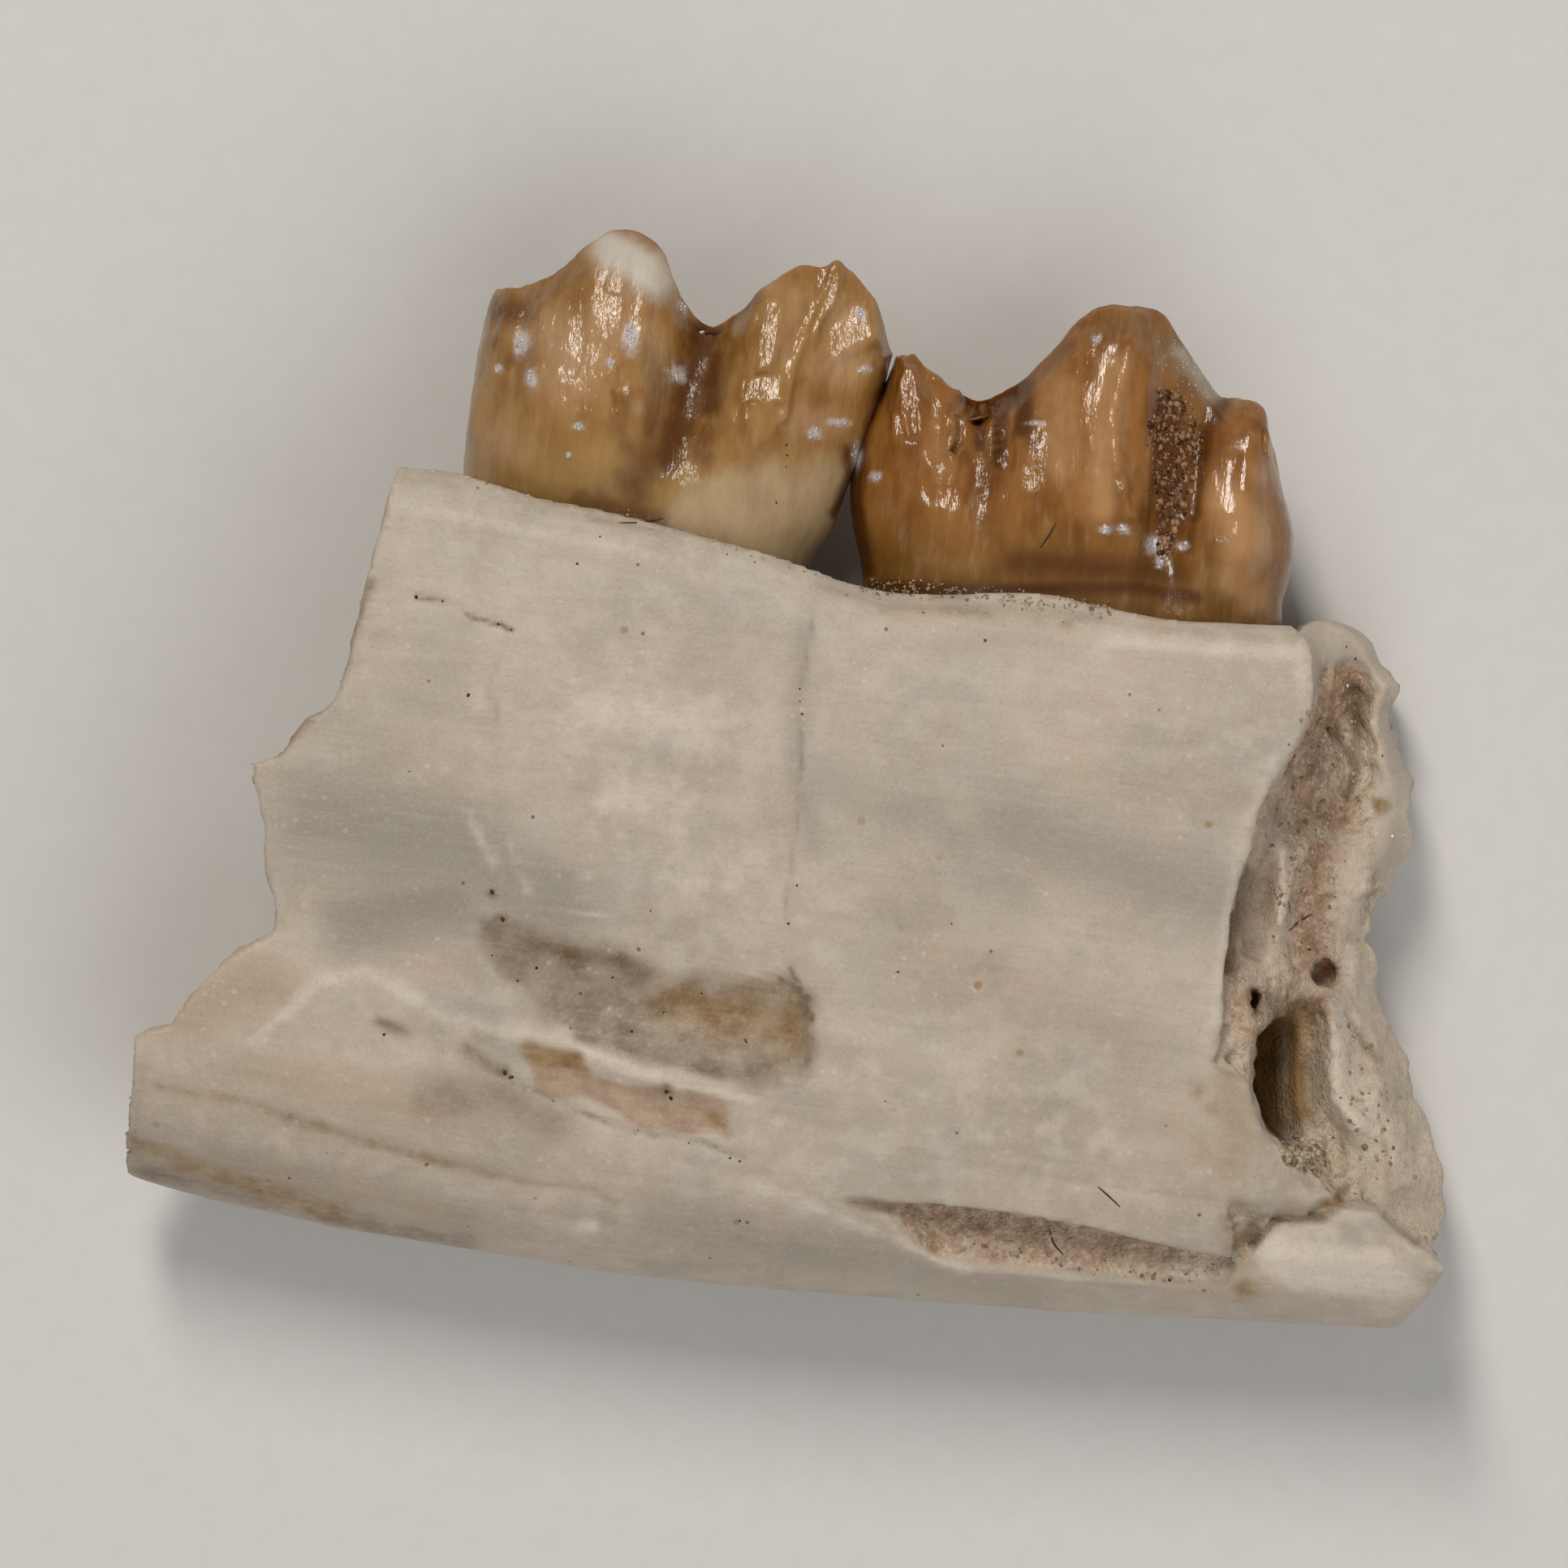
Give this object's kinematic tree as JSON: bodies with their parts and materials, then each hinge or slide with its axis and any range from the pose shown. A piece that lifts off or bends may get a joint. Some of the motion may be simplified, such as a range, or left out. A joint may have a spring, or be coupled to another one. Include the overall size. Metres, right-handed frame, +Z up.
{
  "type": "fossil jaw fragment",
  "caption": "Broken length of fossil jaw bone from a small deer-like grazer, with cheek teeth in their sockets, lying on its cheek side.",
  "frame": {"origin": "on the surface the piece lies on, under the middle of its bounding box", "axes": "+X along the jaw towards its front break, +Y from the jaw's lower edge towards the tooth crowns, +Z up, from the cheek side it lies on to the tongue side"},
  "size_m": [0.0208, 0.0172, 0.0053],
  "materials": {
    "mineralised_bone": "matt, fine-grained, with brown mineral stains",
    "molar_enamel": "glossy amber-brown tooth enamel",
    "premolar_enamel": "glossy amber-brown tooth enamel"
  },
  "bodies": {
    "root": {"jaw_bone": "mineralised_bone", "molar_tooth": "molar_enamel", "premolar_tooth": "premolar_enamel"}
  },
  "joints": []
}
